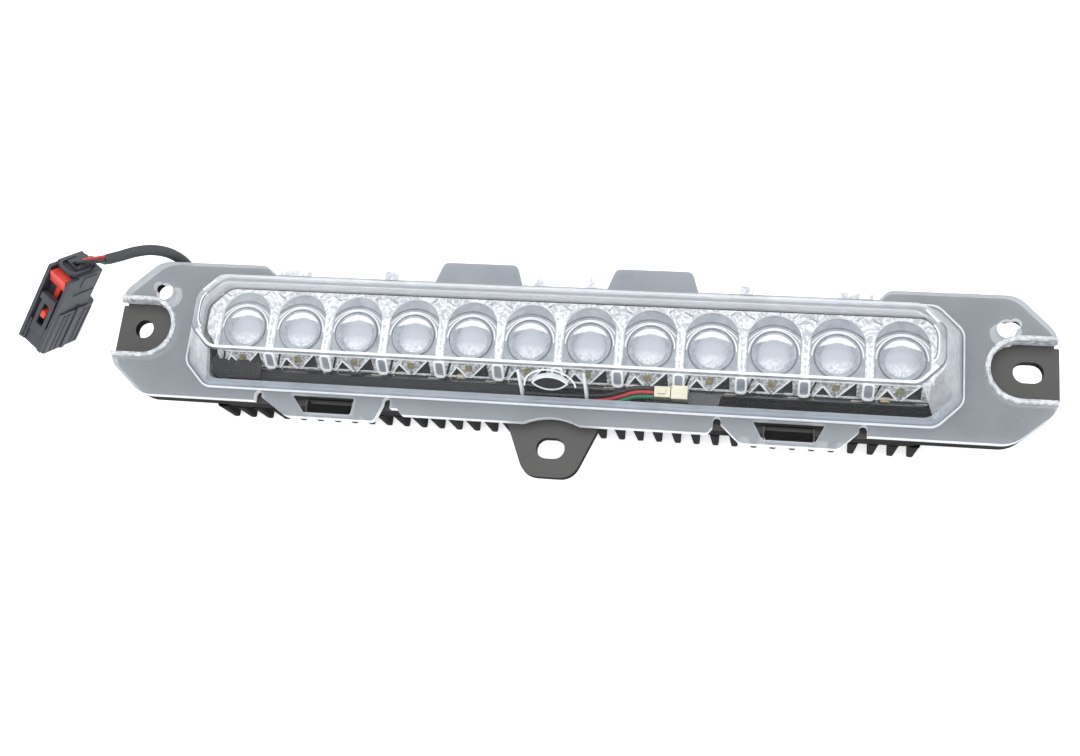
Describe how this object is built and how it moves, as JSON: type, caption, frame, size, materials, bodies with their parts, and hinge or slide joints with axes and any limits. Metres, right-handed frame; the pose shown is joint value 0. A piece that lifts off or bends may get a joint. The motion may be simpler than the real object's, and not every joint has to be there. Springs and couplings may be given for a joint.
{
  "type": "third brake light",
  "caption": "Long high-mounted brake light: clear domed lens on a finned casting with three screw ears, a row of collimator optics inside and a short cable to a sealed plug.",
  "frame": {"origin": "on the surface under the fin tips, below the middle of the lamp's box without its cable", "axes": "+X along the lamp, towards the end without the cable; +Y up on the vehicle; +Z the way the light shines"},
  "size_m": [0.3888, 0.0803, 0.0495],
  "materials": {
    "clear_lens": "clear polycarbonate, gloss",
    "optic": "clear acrylic, polished",
    "seal_rubber": "matt black",
    "casting": "die casting, dark grey conversion coat",
    "circuit_board": "black solder mask",
    "thermal_pad": "soft matt",
    "led_package": "ceramic with yellow phosphor",
    "screw_steel": "zinc plated",
    "component_black": "moulded epoxy",
    "component_ceramic": "bare ceramic with tinned ends",
    "ivory_nylon": "natural nylon",
    "lead_green": "extruded insulation",
    "lead_red": "extruded insulation",
    "lead_black": "extruded insulation",
    "cable_sheath": "matt black tubing",
    "plug_body": "moulded, fine texture",
    "plug_red": "moulded, satin",
    "terminal_tin": "tin plated"
  },
  "bodies": {
    "lamp": {"outer_lens": "clear_lens", "inner_optic": "optic", "port_plug": "seal_rubber", "lens_gasket": "seal_rubber", "cable_grommet": "seal_rubber", "breather_vent": "seal_rubber", "heat_sink": "casting", "led_board": "circuit_board", "thermal_pad": "thermal_pad", "led_01": "led_package", "led_02": "led_package", "led_03": "led_package", "led_04": "led_package", "led_05": "led_package", "led_06": "led_package", "led_07": "led_package", "led_08": "led_package", "led_09": "led_package", "led_10": "led_package", "led_11": "led_package", "led_12": "led_package", "board_screw_1": "screw_steel", "board_screw_2": "screw_steel", "board_screw_3": "screw_steel", "board_screw_4": "screw_steel", "driver_chip": "component_black", "choke": "component_black", "diode_1": "component_black", "diode_2": "component_black", "shunt_1": "component_black", "shunt_2": "component_black", "capacitor_1": "component_ceramic", "capacitor_2": "component_ceramic", "capacitor_3": "component_ceramic", "board_socket": "ivory_nylon", "board_plug": "ivory_nylon", "channel_cover": "component_black", "inner_lead_green": "lead_green", "inner_lead_red": "lead_red", "inner_lead_black": "lead_black", "outer_lead_green": "lead_green", "outer_lead_red": "lead_red", "outer_lead_black": "lead_black", "cable_sheath": "cable_sheath", "connector_housing": "plug_body", "connector_cap": "plug_body", "connector_tower": "plug_body", "connector_seal": "seal_rubber", "terminal_1": "terminal_tin", "terminal_2": "terminal_tin", "terminal_3": "terminal_tin"},
    "lock": {"connector_lock": "plug_red"},
    "latch": {"connector_latch": "plug_body"},
    "keeper": {"connector_keeper": "plug_red"}
  },
  "joints": [
    {"name": "lock_slide", "type": "slide", "parent": "lamp", "child": "lock", "axis": [-0.5596, -0.5518, -0.6184], "range_m": [0, 0.0035]},
    {"name": "latch_press", "type": "hinge", "parent": "lamp", "child": "latch", "pos_m": [-0.20691, 0.00911, 0.01998], "axis": [-0.7922, 0.5754, 0.2034], "range_deg": [0, 3.5], "stiffness_Nm_per_rad": 1.5},
    {"name": "keeper_slide", "type": "slide", "parent": "lamp", "child": "keeper", "axis": [-0.5596, -0.5518, -0.6184], "range_m": [0, 0.0012]}
  ]
}
